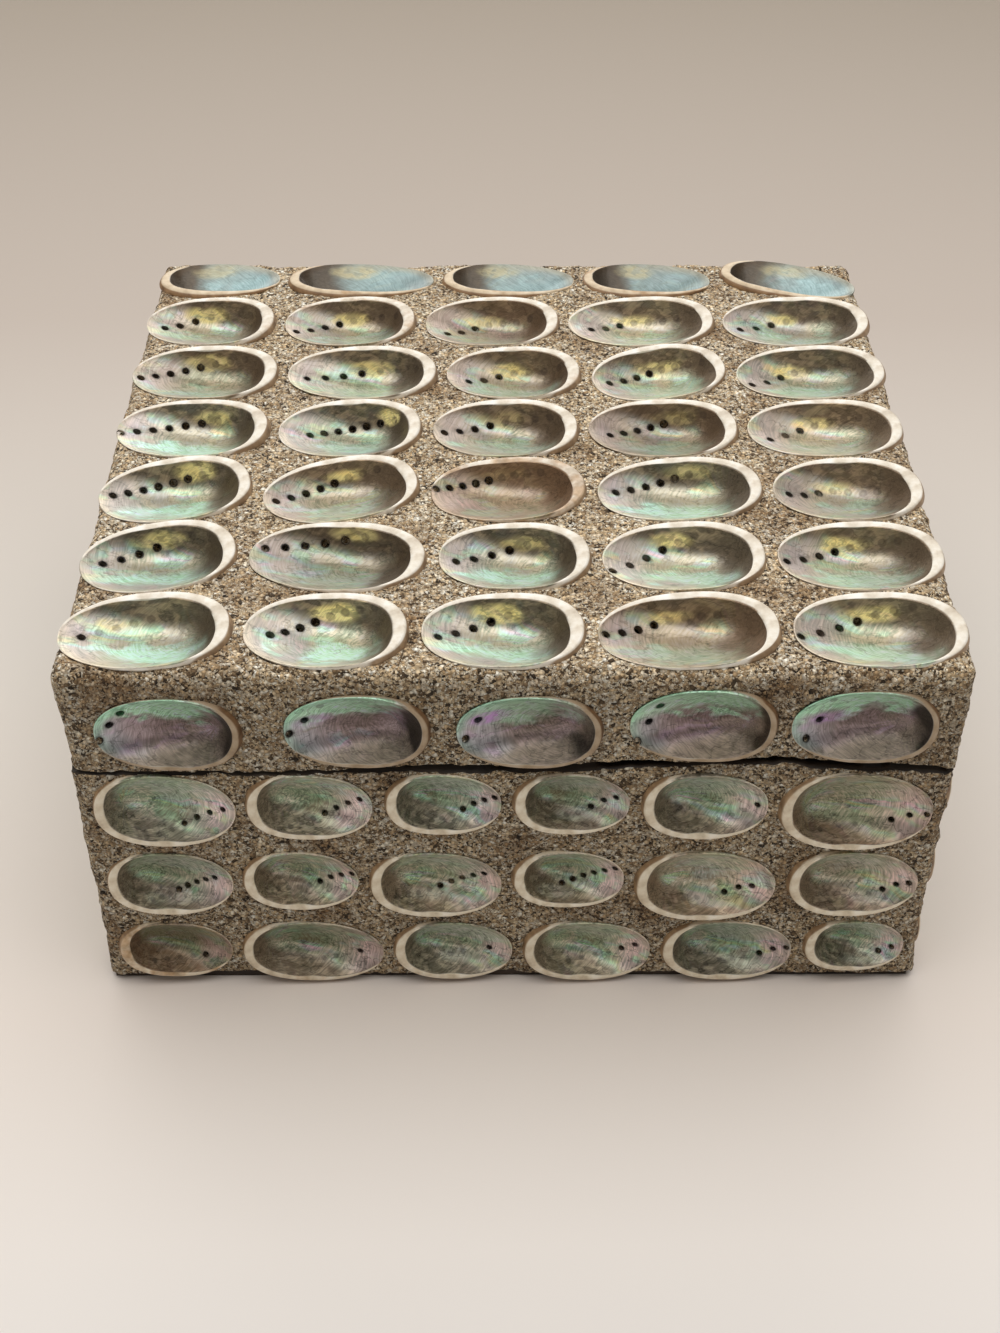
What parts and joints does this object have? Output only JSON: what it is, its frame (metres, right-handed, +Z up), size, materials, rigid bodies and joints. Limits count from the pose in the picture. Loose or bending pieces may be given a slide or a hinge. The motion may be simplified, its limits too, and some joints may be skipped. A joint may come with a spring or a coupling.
{
  "type": "shell box",
  "caption": "Square keepsake box with a lift-off lid, coated with coarse sand mortar and covered with rows of small abalone shells, open side out.",
  "frame": {"origin": "on the floor under the middle of the box", "axes": "+X to the right along the longer side, +Y to the back, +Z up; the front faces -Y"},
  "size_m": [0.253, 0.2371, 0.1276],
  "materials": {
    "sand_mortar": "matte",
    "abalone_shell": "satin",
    "board": "matte"
  },
  "bodies": {
    "root": {"base": "sand_mortar", "base_front_shell_1_1": "abalone_shell", "base_front_shell_1_2": "abalone_shell", "base_front_shell_1_3": "abalone_shell", "base_front_shell_1_4": "abalone_shell", "base_front_shell_1_5": "abalone_shell", "base_front_shell_1_6": "abalone_shell", "base_front_shell_2_1": "abalone_shell", "base_front_shell_2_2": "abalone_shell", "base_front_shell_2_3": "abalone_shell", "base_front_shell_2_4": "abalone_shell", "base_front_shell_2_5": "abalone_shell", "base_front_shell_2_6": "abalone_shell", "base_front_shell_3_1": "abalone_shell", "base_front_shell_3_2": "abalone_shell", "base_front_shell_3_3": "abalone_shell", "base_front_shell_3_4": "abalone_shell", "base_front_shell_3_5": "abalone_shell", "base_front_shell_3_6": "abalone_shell", "lid": "sand_mortar", "lid_front_shell_1": "abalone_shell", "lid_front_shell_2": "abalone_shell", "lid_front_shell_3": "abalone_shell", "lid_front_shell_4": "abalone_shell", "lid_front_shell_5": "abalone_shell", "top_shell_1_1": "abalone_shell", "top_shell_1_2": "abalone_shell", "top_shell_1_3": "abalone_shell", "top_shell_1_4": "abalone_shell", "top_shell_1_5": "abalone_shell", "top_shell_2_1": "abalone_shell", "top_shell_2_2": "abalone_shell", "top_shell_2_3": "abalone_shell", "top_shell_2_4": "abalone_shell", "top_shell_2_5": "abalone_shell", "top_shell_3_1": "abalone_shell", "top_shell_3_2": "abalone_shell", "top_shell_3_3": "abalone_shell", "top_shell_3_4": "abalone_shell", "top_shell_3_5": "abalone_shell", "top_shell_4_1": "abalone_shell", "top_shell_4_2": "abalone_shell", "top_shell_4_3": "abalone_shell", "top_shell_4_4": "abalone_shell", "top_shell_4_5": "abalone_shell", "top_shell_5_1": "abalone_shell", "top_shell_5_2": "abalone_shell", "top_shell_5_3": "abalone_shell", "top_shell_5_4": "abalone_shell", "top_shell_5_5": "abalone_shell", "top_shell_6_1": "abalone_shell", "top_shell_6_2": "abalone_shell", "top_shell_6_3": "abalone_shell", "top_shell_6_4": "abalone_shell", "top_shell_6_5": "abalone_shell", "top_shell_7_1": "abalone_shell", "top_shell_7_2": "abalone_shell", "top_shell_7_3": "abalone_shell", "top_shell_7_4": "abalone_shell", "top_shell_7_5": "abalone_shell"}
  },
  "joints": []
}
